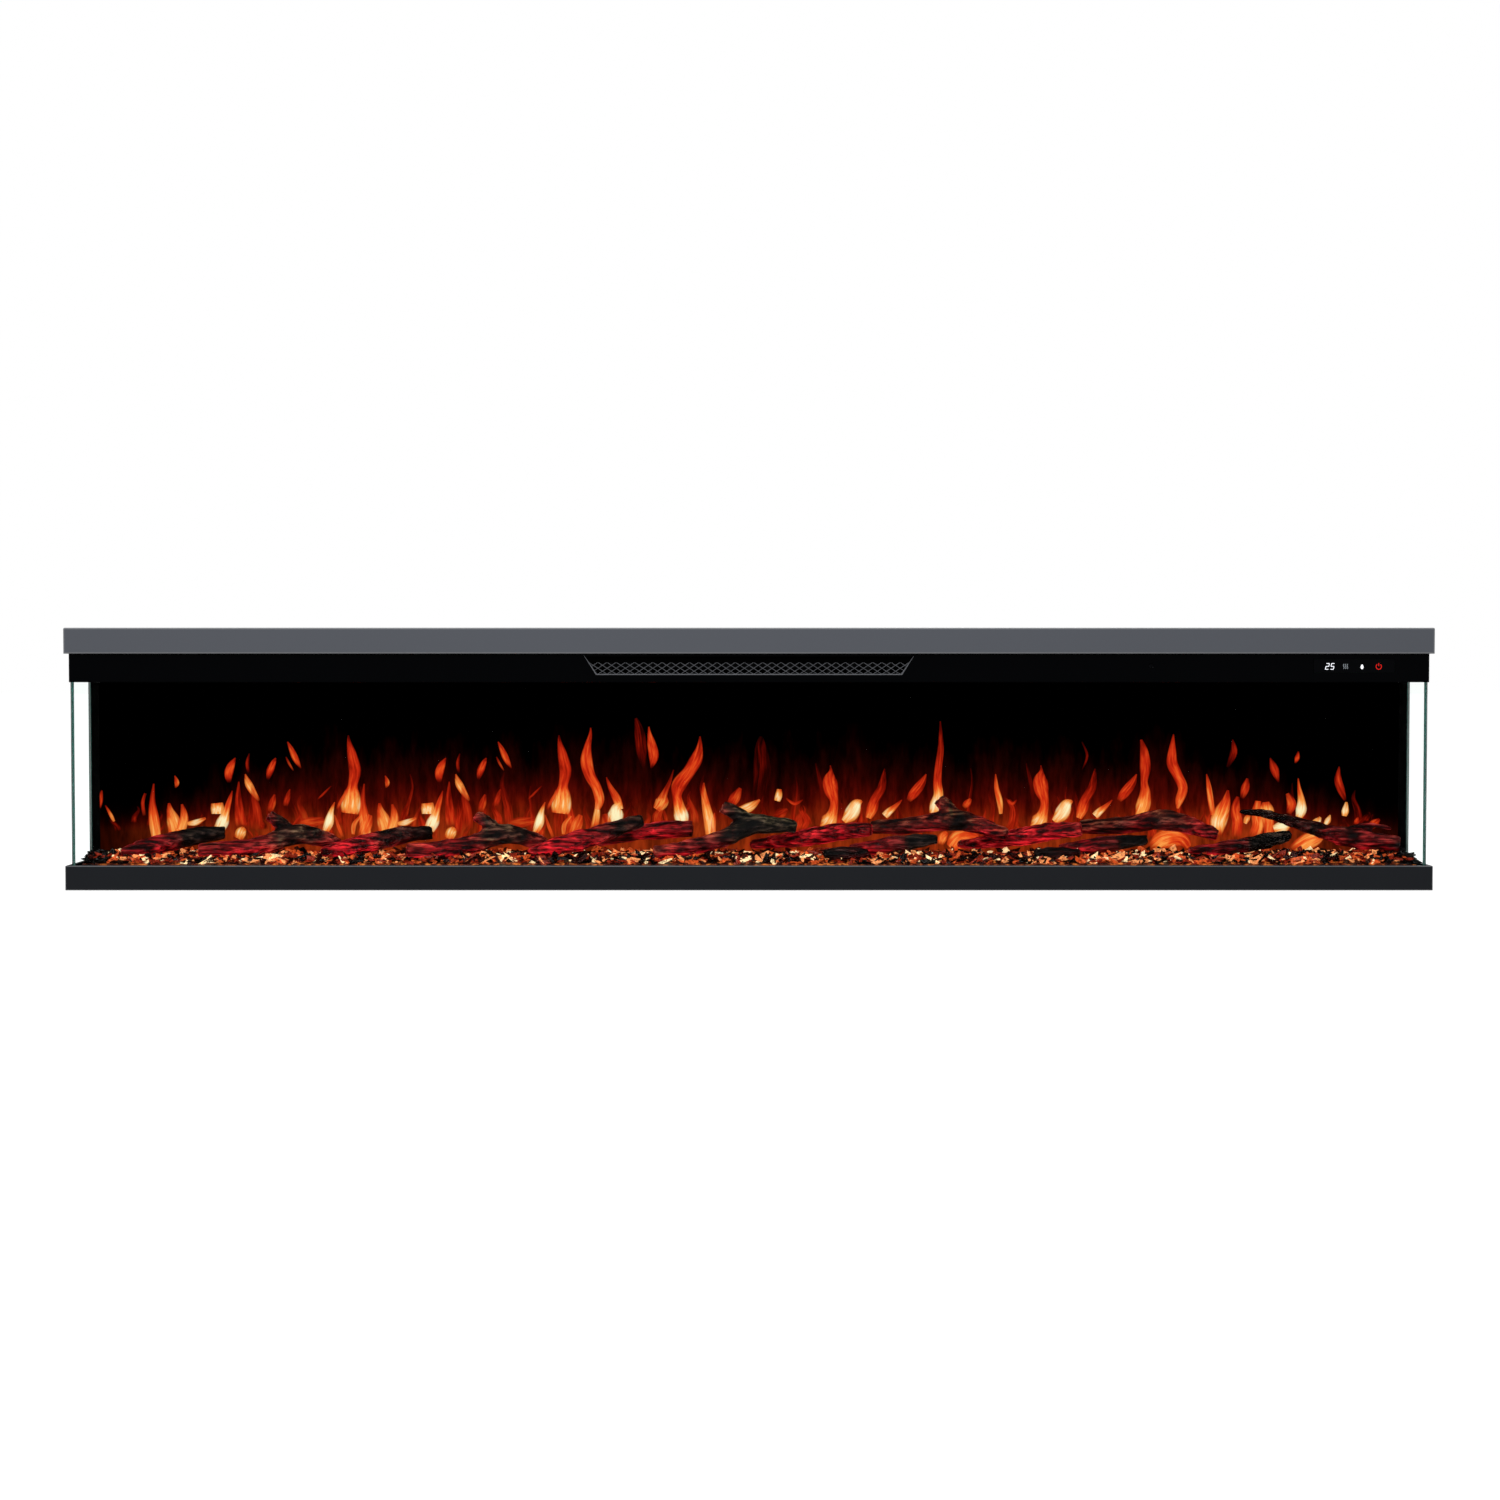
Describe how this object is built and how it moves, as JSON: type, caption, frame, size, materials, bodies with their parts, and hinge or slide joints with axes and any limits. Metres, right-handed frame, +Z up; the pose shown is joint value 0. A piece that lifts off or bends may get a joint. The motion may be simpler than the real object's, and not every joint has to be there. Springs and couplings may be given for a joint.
{
  "type": "electric fireplace",
  "caption": "Long low electric fireplace with glass on the front and both ends, a bed of glowing chips with logs, a flame screen and a fan heater outlet above the glass.",
  "frame": {"origin": "middle of the footprint, on the floor under the base", "axes": "+X along the width, to the right seen from the front; -Y out of the front glass; +Y out of the back; +Z up"},
  "size_m": [2.5405, 0.24, 0.4875],
  "materials": {
    "base_paint": "dark grey powder coat, fine texture",
    "flange_paint": "mid grey powder coat, satin",
    "black_paint": "black powder coat, satin",
    "clear_glass": "toughened, clear, green at the edges",
    "smoked_acrylic": "dark smoked acrylic",
    "mirror_steel": "polished",
    "galvanised_steel": "zinc plated",
    "white_nylon": "moulded nylon",
    "black_plastic": "moulded, matt",
    "heater_block": "black anodised",
    "black_mesh": "expanded steel, painted dark grey",
    "circuit_board": "green solder mask",
    "white_board": "white solder mask with square lamps",
    "amber_resin": "translucent amber",
    "ember_resin": "cast resin chips, lit from below",
    "log_resin": "moulded resin, charred bark with a red glow from inside"
  },
  "bodies": {
    "case": {"base_tray": "base_paint", "top_cover": "flange_paint", "upper_fascia": "black_paint", "rear_case": "black_paint", "ceiling_panel": "black_paint", "left_rear_post": "black_paint", "right_rear_post": "black_paint", "left_side_glass": "clear_glass", "right_side_glass": "clear_glass", "flame_screen": "smoked_acrylic", "display_lens": "smoked_acrylic", "receiver_lens": "smoked_acrylic", "flame_stencil": "mirror_steel", "front_glass_channel": "black_paint", "left_glass_channel": "black_paint", "right_glass_channel": "black_paint", "ember_tray": "amber_resin", "ember_bed": "ember_resin", "ember_lamp_strip": "white_board", "flame_lamp_strip": "white_board", "rotor_motor_left": "galvanised_steel", "rotor_motor_right": "galvanised_steel", "motor_bracket_left": "galvanised_steel", "motor_bracket_right": "galvanised_steel", "rotor_centre_block": "galvanised_steel", "blower_duct": "galvanised_steel", "blower_motor": "galvanised_steel", "lamp_driver": "galvanised_steel", "rotor_bush_left": "white_nylon", "rotor_bush_right": "white_nylon", "blower_bush": "white_nylon", "terminal_block": "white_nylon", "thermal_cutout": "black_plastic", "mains_gland": "black_plastic", "heater_element": "heater_block", "outlet_grille": "black_mesh", "outlet_bezel": "black_mesh", "control_board": "circuit_board", "touch_board": "circuit_board", "log_01": "log_resin", "log_02": "log_resin", "log_03": "log_resin", "log_04": "log_resin", "log_05": "log_resin", "log_06": "log_resin", "log_07": "log_resin", "log_08": "log_resin", "log_09": "log_resin", "log_10": "log_resin", "log_11": "log_resin", "log_12": "log_resin", "log_13": "log_resin", "log_14": "log_resin", "log_15": "log_resin", "log_16": "log_resin", "log_17": "log_resin"},
    "front_glass": {"front_glass": "clear_glass"},
    "flame_rotor_left": {"flame_rotor_left": "mirror_steel"},
    "flame_rotor_right": {"flame_rotor_right": "mirror_steel"},
    "blower_wheel": {"blower_wheel": "black_plastic"}
  },
  "joints": [
    {"name": "front_glass_lift", "type": "slide", "parent": "case", "child": "front_glass", "axis": [0, 0, 1], "range_m": [0, 0.0055]},
    {"name": "flame_rotor_left_spin", "type": "hinge", "parent": "case", "child": "flame_rotor_left", "pos_m": [-0.6, 0.075, 0.09], "axis": [1, 0, 0], "continuous": true},
    {"name": "flame_rotor_right_spin", "type": "hinge", "parent": "case", "child": "flame_rotor_right", "pos_m": [0.6, 0.075, 0.09], "axis": [1, 0, 0], "continuous": true},
    {"name": "blower_wheel_spin", "type": "hinge", "parent": "case", "child": "blower_wheel", "pos_m": [0, -0.02, 0.4385], "axis": [1, 0, 0], "continuous": true}
  ]
}
